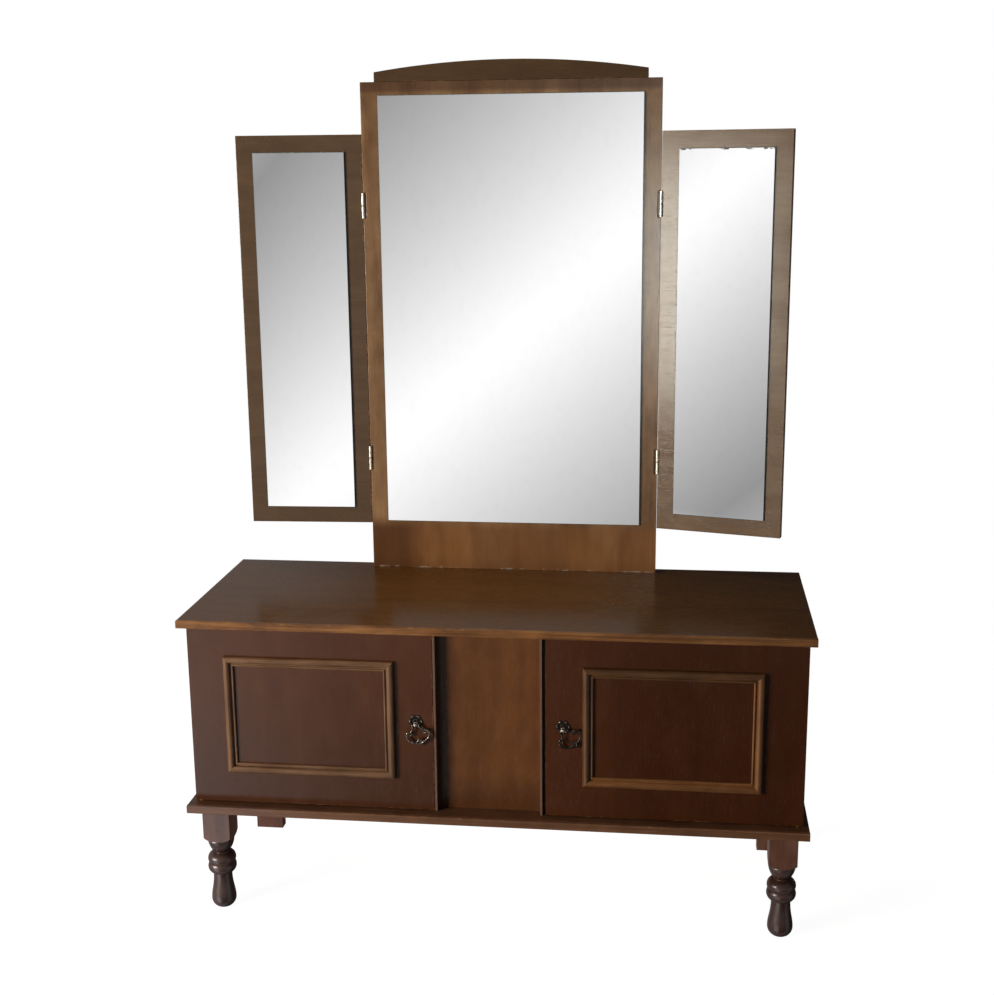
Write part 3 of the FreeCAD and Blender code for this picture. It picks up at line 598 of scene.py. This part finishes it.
def scrolled_drop(pivot, across):
    """The openwork drop as it hangs from its pin: flattened bars on smooth strokes, balls at their ends."""
    down = across.cross(Vector((0, 1, 0)))
    if down.z > 0:
        down = -down
    bars = bpy.data.curves.new("drop_bars", "CURVE")
    bars.dimensions = "3D"
    bars.bevel_depth = bar_radius
    bars.bevel_resolution = 3
    bars.use_fill_caps = True
    halves = [[(sign * right, below, swell) for right, below, swell in stroke]
              for stroke in (arm_stroke, scroll_stroke, foot_stroke) for sign in (-1, 1)]
    for stroke in halves + [pin_stroke, stem_stroke]:
        spline = bars.splines.new("NURBS")
        spline.points.add(len(stroke) - 1)
        for point, (right, below, swell) in zip(spline.points, stroke):
            point.co = (*(pivot + drop_scale * (right * across + below * down)), 1.0)
            point.radius = swell
        spline.order_u = 3
        spline.use_endpoint_u = True
        spline.resolution_u = 10
    holder = bpy.data.objects.new("drop_bars", bars)
    swept = bpy.data.meshes.new_from_object(holder)
    shape = bmesh.new()
    shape.from_mesh(swept)
    bpy.data.objects.remove(holder)
    bpy.data.meshes.remove(swept)
    bpy.data.curves.remove(bars)
    bmesh.ops.remove_doubles(shape, verts=shape.verts, dist=1e-7)
    for right, below, radius in drop_balls:
        place = Matrix.Translation(pivot + drop_scale * (right * across + below * down))
        bmesh.ops.create_icosphere(shape, subdivisions=3, radius=drop_scale * radius, matrix=place)
    flat = (1.0, bar_flatness, 1.0)
    bmesh.ops.scale(shape, vec=flat, space=Matrix.Translation(-pivot), verts=shape.verts)
    bmesh.ops.recalc_face_normals(shape, faces=shape.faces)
    return shape


# The rosettes are dull up to a height above the door, and brighten over the rise that follows.
dull_height = 0.0012
bright_rise = 0.0016
# The right drop brightens less than the left, a painted shade for the weaker light it gets.
for side, rubbed in (("left", 0.50), ("right", 0.34)):
    rosette, drop = f"handle_rosette_{side}", f"handle_drop_{side}"
    low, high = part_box(rosette)
    post = Vector(hinges[f"drop_{side}_pivot"]["pos_m"])
    shape = leafy_rosette((Vector(low) + Vector(high)) / 2, post, high[1])
    piece = add_piece(f"{rosette}_leaves", shape, [antique], body_of[rosette], [rosette])
    mark_rub(piece, lambda place, normal: max(0.0, min(1.0, (high[1] - place.y - dull_height) / bright_rise)))
    shape = scrolled_drop(post, -Vector(hinges[f"drop_{side}_pivot"]["axis"]))
    piece = add_piece(f"{drop}_scrolls", shape, [antique], body_of[drop], [drop])
    mark_rub(piece, lambda place, normal: max(0.0, min(rubbed, (0.1 - normal.y) / 1.4)))


# Middle mirror: a tall veneered board that stands on the top, with upright grain over its whole face.
# The silvered glass is planted on it, and a darker arched crest board is doweled to its top edge.

frame_shades = ((90, 61, 36), (128, 94, 60), (159, 122, 83))
board_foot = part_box("mirror_board")[0][2]
glass_foot, glass_head = (corner[2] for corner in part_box("mirror_glass"))


def glue_stain_and_painted_shade(graph, place, colour, rough):
    """Old glue along the board's foot, a warmer tone below the glass as painted shade for the sheen that part
    lacks, blotchy stain above the foot, a dark top rail and flecks.
    """
    height = place.along("Z")
    squeezed = graph.noise(place, (70.0, 70.0, 160.0), detail=4.0).step(0.52, 0.66)
    squeezed = squeezed * height.step(board_foot + 0.0045, board_foot + 0.0015)
    flecks = graph.noise(place, (130.0, 130.0, 26.0), detail=3.0).step(0.70, 0.78)
    colour = graph.mix(flecks * 0.35, colour, tone(48, 28, 16))
    # Below the glass the colour is painted warmer, a painted shade for the weaker sheen there.
    below_glass = height.step(glass_foot + 0.01, glass_foot - 0.02)
    colour = graph.mix(below_glass * 0.6, colour, tone(124, 76, 36))
    blotches = 0.7 * graph.noise(place, (9.0, 9.0, 1.5), detail=3.0).step(0.44, 0.60)
    stain = below_glass * blotches.most(1.6 * place.along("X").step(-0.17, -0.24))
    stain = stain.most(1.4 * height.step(glass_head, glass_head + 0.012))
    colour = graph.mix(stain * 0.46, colour, tone(62, 34, 17))
    return graph.mix(squeezed * 0.8, colour, tone(150, 134, 114)), rough + 0.3 * squeezed


def let_in(edge, amount, pivot=Vector(), turned=Matrix.Identity(3)):
    """Moves a board's hinge edge, where it stands turned about a pivot, so that its leaves are let in."""
    def reach(place):
        flat = pivot + turned.inverted() @ (place - pivot)
        on_edge = abs(abs(flat.x) - edge) < 1e-4
        outwards = math.copysign(1.0, flat.x)
        return turned @ Vector((outwards * amount, 0.0, 0.0)) if on_edge else Vector()
    return reach


board_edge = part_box("mirror_board")[1][0]
board_let_in = 0.0008
frame_veneer = stained_wood("frame_veneer_brown", "Z", frame_shades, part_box("mirror_board"), gloss=0.22,
                            figure=(10.0, 1.2), contrast=0.9, wear=0.5, wear_width=0.002, marks=glue_stain_and_painted_shade)
eased("mirror_board", sanded, frame_veneer, let_in(board_edge, board_let_in))
crest_shades = ((54, 35, 16), (73, 50, 25), (94, 70, 40))
eased("mirror_crest", sanded, stained_wood("crest_wood_dark", "X", crest_shades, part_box("mirror_crest"),
                                           gloss=0.30, contrast=0.4))
dress("mirror_dowels", raw_wood("dowel_beech_mirror", "Z", dowel_shades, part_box("mirror_dowels")))


def silvered(name, worn_top=None, lean=0.0):
    """Silvered glass: a true mirror with a trace of dust, its silver lost in spots along a worn top edge.

    lean is the slope across the plate where it doesn't lie quite true on its board.
    """
    finish, graph = new_finish(name)
    place = graph.place()
    dust = graph.noise(place, (55.0, 55.0, 40.0), detail=4.0)
    colour = graph.mix(dust.step(0.4, 0.9) * 0.2, tone(252, 252, 252), tone(235, 235, 235))
    values = {"Base Color": colour, "Metallic": 1.0, "Roughness": 0.012 + 0.02 * dust.step(0.5, 0.9)}
    if worn_top:
        lost = graph.noise(place, (75.0, 75.0, 110.0), detail=3.0).step(0.56, 0.62)
        lost = lost * place.along("Z").step(worn_top - 0.0045, worn_top - 0.0020)
        values["Base Color"] = graph.mix(lost, colour, tone(126, 114, 96))
        values["Metallic"] = 1 - lost
    if lean:
        values["Normal"] = graph.bump(lean * place.along("X"), 1.0, 1.0)
    surface(graph, values)
    return finish


def ground_edge(name):
    """The ground edge of a glass plate: greenish, satin, with small chips."""
    finish, graph = new_finish(name)
    place = graph.place()
    chips = graph.noise(place, (300.0, 300.0, 300.0), detail=4.0)
    colour = graph.mix(chips.step(0.45, 0.7), tone(118, 126, 116), tone(196, 204, 194))
    surface(graph, {"Base Color": colour, "Roughness": 0.3 + 0.3 * (chips - 0.5),
                    "Normal": graph.bump(chips, 0.4, 0.0003)})
    return finish


silver = silvered("silvered_glass")
glass_edge = ground_edge("glass_edge_green")
ground_arris = 0.0010


def planted_glass(node, backing):
    """A mirror plate with its arris ground off; only the flat front, towards the room, is silver."""
    plate = eased(node, ground_arris, glass_edge)
    plate.data.materials.append(backing)
    towards_room = [face for face in plate.data.polygons if face.normal.y < 0]
    front = max(towards_room, key=lambda face: face.area).normal
    for face in plate.data.polygons:
        if face.normal.dot(front) > 0.999:
            face.material_index = 1


planted_glass("mirror_glass", silver)


# Battens: two lengths of sawn softwood behind the mirror board, screwed to it and to the partitions.
# They are let into notches in the back edge of the top.

batten_shades = ((120, 88, 56), (156, 120, 80), (184, 148, 104))
sawn_arris = 0.0010
for side in sides:
    node = f"mirror_batten_{side}"
    eased(node, sawn_arris, raw_wood(f"batten_softwood_{side}", "Z", batten_shades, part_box(node)))


def screw_tree():
    """A node tree that sets a slotted countersunk screw on each point, along its aim and turned by chance."""
    tree = bpy.data.node_groups.new("slotted_screws", "GeometryNodeTree")
    for name, kind in (("Points", "Geometry"), ("Head radius", "Float"), ("Head depth", "Float"),
                       ("Shank radius", "Float"), ("Shank length", "Float"), ("Slot width", "Float"),
                       ("Slot depth", "Float"), ("Seed", "Int"), ("Finish", "Material")):
        tree.interface.new_socket(name, in_out="INPUT", socket_type=f"NodeSocket{kind}")
    tree.interface.new_socket("Screws", in_out="OUTPUT", socket_type="NodeSocketGeometry")
    graph = Graph(tree)
    size = graph.node("NodeGroupInput")

    def sunk(shape, depth):
        """A form moved down until its top lies on the surface."""
        shift = graph.node("ShaderNodeCombineXYZ", None, {"Z": 0.0 - depth})
        return graph.node("GeometryNodeTransform", None, {"Geometry": shape, "Translation": shift})

    head = graph.node("GeometryNodeMeshCone", None,
                      {"Vertices": 28, "Radius Top": size.out("Head radius"),
                       "Radius Bottom": size.out("Shank radius"), "Depth": size.out("Head depth")})
    slot_size = graph.node("ShaderNodeCombineXYZ", None,
                           {"X": 3.0 * size.out("Head radius"), "Y": size.out("Slot width"),
                            "Z": 2.0 * size.out("Slot depth")})
    slot = graph.node("GeometryNodeMeshCube", None, {"Size": slot_size})
    head = graph.node("GeometryNodeMeshBoolean", {"operation": "DIFFERENCE"},
                      {"Mesh 1": sunk(head, size.out("Head depth")), "Mesh 2": slot})
    shank = graph.node("GeometryNodeMeshCone", None,
                       {"Vertices": 16, "Radius Top": size.out("Shank radius"),
                        "Radius Bottom": 0.25 * size.out("Shank radius"), "Depth": size.out("Shank length")})
    shank = sunk(shank, 0.8 * size.out("Head depth") + size.out("Shank length"))
    screw = graph.node("GeometryNodeJoinGeometry", None, {"Geometry": head})
    graph.tree.links.new(shank.socket, screw.socket.node.inputs["Geometry"])
    spin = graph.node("FunctionNodeRandomValue", {"data_type": "FLOAT"},
                      {2: 0.0, 3: math.pi, "Seed": size.out("Seed")}, output=1)
    spin = graph.node("FunctionNodeAxisAngleToRotation", None, {"Axis": (0.0, 0.0, 1.0), "Angle": spin})
    aim = graph.node("GeometryNodeInputNamedAttribute", {"data_type": "FLOAT_VECTOR"}, {"Name": "aim"})
    aim = graph.node("FunctionNodeAlignRotationToVector", {"axis": "Z"}, {"Vector": aim})
    aim = graph.node("FunctionNodeRotateRotation", {"rotation_space": "LOCAL"},
                     {"Rotation": aim, "Rotate By": spin})
    screws = graph.node("GeometryNodeInstanceOnPoints", None,
                        {"Points": size.out("Points"), "Instance": screw, "Rotation": aim})
    screws = graph.node("GeometryNodeRealizeInstances", None, {"Geometry": screws})
    screws = graph.node("GeometryNodeSetMaterial", None, {"Geometry": screws, "Material": size.out("Finish")})
    graph.node("NodeGroupOutput", None, {"Screws": screws})
    return tree


slotted_screws = screw_tree()


def drive_screws(node, heads, head_radius, seed):
    """Sets screws in place of a CAD node; heads are pairs of a head's middle and the way it looks."""
    marks = bpy.data.meshes.new("screw_points")
    marks.from_pydata([middle for middle, aim in heads], [], [])
    aims = marks.attributes.new("aim", "FLOAT_VECTOR", "POINT")
    for mark, (middle, aim) in zip(aims.data, heads):
        mark.vector = aim
    holder = bpy.data.objects.new("screw_points", marks)
    bpy.context.scene.collection.objects.link(holder)
    modifier = holder.modifiers.new("screws", "NODES")
    modifier.node_group = slotted_screws
    sizes = {"Head radius": head_radius, "Head depth": 0.55 * head_radius, "Shank radius": 0.5 * head_radius,
             "Shank length": 2.6 * head_radius, "Slot width": 0.26 * head_radius,
             "Slot depth": 0.24 * head_radius, "Seed": seed, "Finish": plain_steel}
    for socket in slotted_screws.interface.items_tree:
        if socket.name in sizes:
            modifier[socket.identifier] = sizes[socket.name]
    shape = bmesh.new()
    made = bpy.data.meshes.new_from_object(holder.evaluated_get(bpy.context.evaluated_depsgraph_get()))
    shape.from_mesh(made)
    bpy.data.objects.remove(holder)
    bpy.data.meshes.remove(made)
    bpy.data.meshes.remove(marks)
    return add_piece(f"{node}_slotted", shape, [plain_steel], body_of[node], [node])


batten_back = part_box("mirror_batten_left")[1][1]
batten_screw_heights = (0.372, 0.557, 0.672, 1.332)
batten_screw_radius = 0.0040
sunk_below = 0.0001
batten_heads = []
for side in sides:
    low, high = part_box(f"mirror_batten_{side}")
    for height in batten_screw_heights:
        middle = ((low[0] + high[0]) / 2, batten_back - sunk_below, height)
        batten_heads.append((middle, (0.0, 1.0, 0.0)))
drive_screws("batten_screws", batten_heads, batten_screw_radius, seed=3)


# Mirror wings: a narrower veneered board each, with level grain and its own glass. Each hangs from the
# middle board on two small butt hinges, and stands a little forward in the photographed pose.

wing_shades = {"left": ((66, 47, 30), (88, 66, 45), (110, 87, 62)),
               "right": ((88, 66, 49), (113, 90, 69), (138, 114, 89))}
hinge_middles = (0.860, 1.382)
hinge_nickel = old_metal("hinge_nickel", (232, 224, 204), (200, 186, 158), metallic=0.6, rough=0.3,
                         joints=hinge_middles)
# Each leaf has a screw above and one below the hinge's middle. All of them stand equally far back, with their
# heads in the face of their leaf: on the middle board's edge, or on the wing's edge before the wing turns.
screw_offset = 0.015
hinge_heights = [middle + offset for middle in hinge_middles for offset in (-screw_offset, screw_offset)]
screw_line = 0.1995
board_leaf_face = 0.3010
wing_leaf_face = 0.3014
hinge_screw_radius = 0.0025
board_heads = [((sign * board_leaf_face, screw_line, height), (sign, 0.0, 0.0))
               for sign in (-1.0, 1.0) for height in hinge_heights]
drive_screws("mirror_hinge_screws", board_heads, hinge_screw_radius, seed=7)
wing_let_in = -0.0012
wing_backing = {"left": silvered("silvered_glass_askew", lean=0.0384),
                "right": silvered("silvered_glass_worn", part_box("wing_glass_right")[1][2])}


def level_lines(graph, place, colour, rough):
    """Open grain, left as fine level lines that dull the sheen of the varnish."""
    lines = graph.noise(place, stretch("X", 330.0, 9.0), detail=2.0).step(0.54, 0.66)
    return graph.mix(lines * 0.12, colour, tone(42, 30, 20)), rough + 0.09 * lines


for side, sign in (("left", -1), ("right", 1)):
    hinge = hinges[f"wing_{side}_hinge"]
    pivot = Vector(hinge["pos_m"])
    angle = math.radians(sign * hinge["range_deg"][0])
    turned = Matrix.Rotation(angle, 3, "Z")
    node = f"wing_board_{side}"
    flat = [pivot + turned.inverted() @ (vertex.co - pivot) for vertex in frame["nodes"][node].data.vertices]
    box = [Vector(limit(point[axis] for point in flat) for axis in range(3)) for limit in (min, max)]
    veneer = stained_wood(f"wing_veneer_{side}", "X", wing_shades[side], box, turn=(pivot, angle), gloss=0.15,
                          figure=(20.0, 1.3), contrast=0.45, open_pores=0.3, wear=0.4, marks=level_lines)
    hinge_edge = min(abs(corner.x) for corner in box)
    eased(node, sanded, veneer, let_in(hinge_edge, wing_let_in, pivot, turned))
    planted_glass(f"wing_glass_{side}", wing_backing[side])
    dress(f"wing_hinge_leaves_{side}", hinge_nickel)
    dress(f"mirror_hinge_leaves_{side}", hinge_nickel)
    heads = [Vector((sign * wing_leaf_face, screw_line, height)) for height in hinge_heights]
    aim = turned @ Vector((-sign, 0.0, 0.0))
    wing_heads = [(pivot + turned @ (head - pivot), aim) for head in heads]
    drive_screws(f"wing_hinge_screws_{side}", wing_heads, hinge_screw_radius, seed=11)
dress("wing_hinge_pins", hinge_nickel)


# Studio: a plain pale floor, a soft light low on the left, weaker ones overhead, on the right and behind, two
# lamps that only leave a sheen on a mirror board, and a graded room for the mirrors and the varnish to
# reflect. The camera stands where the photograph was taken.

floor_reach = 12.0
floor_mesh = bpy.data.meshes.new("studio_floor")
floor_corners = [(x * floor_reach, y * floor_reach, 0.0) for x, y in ((-1, -1), (1, -1), (1, 1), (-1, 1))]
floor_mesh.from_pydata(floor_corners, [], [(0, 1, 2, 3)])
floor = bpy.data.objects.new("studio_floor", floor_mesh)
bpy.context.scene.collection.objects.link(floor)
floor_finish, graph = new_finish("pale_floor")
# Near the table the floor takes a faint shade, and further off it is plain white.
pure_white = tone(255, 255, 255)
shaded_reach, plain_reach = 0.8, 2.2
seen = graph.node("ShaderNodeLightPath").out("Is Camera Ray")
near = graph.node("ShaderNodeBsdfPrincipled", None,
                  {"Base Color": tone(120, 120, 120), "Roughness": 0.9, "Emission Color": pure_white,
                   "Emission Strength": 0.95 * seen})
far = graph.node("ShaderNodeEmission", None, {"Color": pure_white, "Strength": seen})
away = graph.node("ShaderNodeVectorMath", {"operation": "LENGTH"}, {0: graph.place()}, output="Value")
away = away.step(shaded_reach, plain_reach)
graph.node("ShaderNodeOutputMaterial", None,
           {"Surface": graph.node("ShaderNodeMixShader", None, {0: away, 1: near, 2: far})})
floor_mesh.materials.append(floor_finish)
floor.visible_glossy = False


def add_soft_light(name, place, target, size, power, colour):
    """A square or oblong soft box that faces a target."""
    light = bpy.data.lights.new(name, "AREA")
    light.shape = "RECTANGLE"
    light.size, light.size_y = size
    light.energy = power
    light.color = colour
    lamp = bpy.data.objects.new(name, light)
    lamp.location = place
    lamp.rotation_euler = (Vector(target) - Vector(place)).to_track_quat("-Z", "Y").to_euler()
    lamp.visible_camera = False
    bpy.context.scene.collection.objects.link(lamp)
    return lamp


def light_link(lamp, pieces, state):
    """Keeps a lamp to the pieces, or off them, as the state says."""
    linked = bpy.data.collections.new(f"{lamp.name}_linked")
    for piece in pieces:
        linked.objects.link(bpy.data.objects[piece])
    for member in linked.collection_objects:
        member.light_linking.link_state = state
    lamp.light_linking.receiver_collection = linked


def sheen_only(lamp, piece):
    """Keeps a lamp to the sheen that it leaves on one piece, so that no mirror shows it."""
    lamp.visible_diffuse = False
    light_link(lamp, [piece], "INCLUDE")


warm, creamy, olive = (1.0, 0.97, 0.93), (0.98, 0.96, 0.84), (0.95, 1.0, 0.92)
side_light = add_soft_light("side_light", (-3.3, -2.85, 0.95), (0.0, -0.1, 0.6), (1.5, 1.05), 196.0, warm)
light_link(side_light, ["mirror_glass_eased", "wing_glass_left_eased", "wing_glass_right_eased"], "EXCLUDE")
overhead = add_soft_light("overhead", (-1.0, -0.05, 2.7), (-0.1, 0.0, 0.6), (1.6, 1.6), 22.0, warm)
fill = add_soft_light("fill", (1.2, -3.4, 0.9), (0.1, 0.0, 0.5), (2.4, 1.4), 4.0, warm)
back_lamps = [add_soft_light(f"back_{side}", (x, 2.6, 0.33), (0.0, 0.1, 0.6), (1.6, 0.5), 60.0, warm)
              for side, x in zip(sides, (-2.6, 2.6))]
for lamp in (overhead, fill, *back_lamps):
    lamp.visible_glossy = False
wing_sheen = add_soft_light("wing_sheen", (-1.74, -3.0, 0.94), (0.4, 0.1, 1.1), (1.18, 1.06), 99.0, creamy)
stile_sheen = add_soft_light("stile_sheen", (0.58, -2.9, 1.05), (0.29, 0.19, 1.1), (0.66, 0.7), 50.0, olive)
sheen_only(wing_sheen, "wing_board_right_eased")
sheen_only(stile_sheen, "mirror_board_eased")

world = bpy.data.worlds.new("studio_room")
world.use_nodes = True
world.node_tree.nodes.clear()
world.cycles_visibility.diffuse = False
bpy.context.scene.world = world
room = Graph(world.node_tree)
heading = room.node("ShaderNodeTexCoord").out("Generated")
least_depth = 0.02
in_front = heading.along("Y").step(least_depth, -least_depth)
depth = heading.along("Y").size().most(least_depth)
across = heading.along("X") / depth
rise = heading.along("Z") / depth

# The room in front is graded from pale to grey by slanting bands, which fold back and forth. Further to the
# left they lie a little lower.
band_slope, band_place, left_drop = 0.843, 0.023, 0.066
half_band, soften = 0.257, 0.099
pale, greyed, curve = 1.04, 0.466, 2.2
slant = band_slope * across.most(-0.62).least(0.25) - rise.most(-0.40).least(0.25)
slant = slant - band_place - left_drop * across.step(-0.24, -0.44)
fold = room.maths("PINGPONG", slant, half_band) / half_band
fold = room.maths("SQRT", fold * fold + soften ** 2) - soften
grade = pale * room.maths("POWER", 1 - greyed * fold, curve)

# It is dark low down, but for a cool window on the left, paler far below and dimmer high up. Behind the table
# it is dim all over, with another window on the left.
low_glow, window_glow, below_glow, high_glow = 0.02, 3.1, 0.45, 0.35
back_glow, back_window_glow = 0.04, 0.28
low = rise.step(-0.27, -0.34) * across.size().step(1.5, 1.1)
below = rise.step(-0.9, -1.3)
high = rise.step(0.06, 0.20)
window = low * across.step(-0.25, -0.40) * (1 - below)
back_window = across.step(-0.16, -0.30)
grade = grade.towards(low_glow, low) + window_glow * window
grade = grade.towards(below_glow, below).towards(high_glow, high)
grade = (back_glow + back_window_glow * back_window).towards(grade, in_front)
cool = back_window.towards(window, in_front)
plain = room.node("ShaderNodeLightPath").out("Is Camera Ray")
daylight = room.mix(cool, pure_white, (0.86, 1.04, 1.14, 1.0))
glow = room.node("ShaderNodeBackground", None, {"Color": daylight, "Strength": grade})
white = room.node("ShaderNodeBackground", None, {"Color": pure_white, "Strength": 1.0})
room.node("ShaderNodeOutputWorld", None,
          {"Surface": room.node("ShaderNodeMixShader", None, {0: plain, 1: glow, 2: white})})

frame_pixels = 995
focal_pixels = 1449.652
camera_place = Vector((0.337387, -2.758339, 1.462789))
camera_yaw = math.radians(7.1531)
camera_pitch = math.radians(12.9638)
camera_roll = math.radians(-0.5674)
ahead = Vector((-math.sin(camera_yaw) * math.cos(camera_pitch), math.cos(camera_yaw) * math.cos(camera_pitch),
                -math.sin(camera_pitch)))
level = Vector((math.cos(camera_yaw), math.sin(camera_yaw), 0.0))
upright = level.cross(ahead)
camera_x = math.cos(camera_roll) * level + math.sin(camera_roll) * upright
camera_y = math.cos(camera_roll) * upright - math.sin(camera_roll) * level
lens = bpy.data.cameras.new("photo_camera")
lens.sensor_width = 36.0
lens.lens = focal_pixels * lens.sensor_width / frame_pixels
camera = bpy.data.objects.new("photo_camera", lens)
camera_turn = Matrix((camera_x, camera_y, -ahead)).transposed().to_4x4()
camera.matrix_world = Matrix.Translation(camera_place) @ camera_turn
bpy.context.scene.collection.objects.link(camera)
bpy.context.scene.camera = camera
bpy.context.scene.view_settings.view_transform = "Standard"
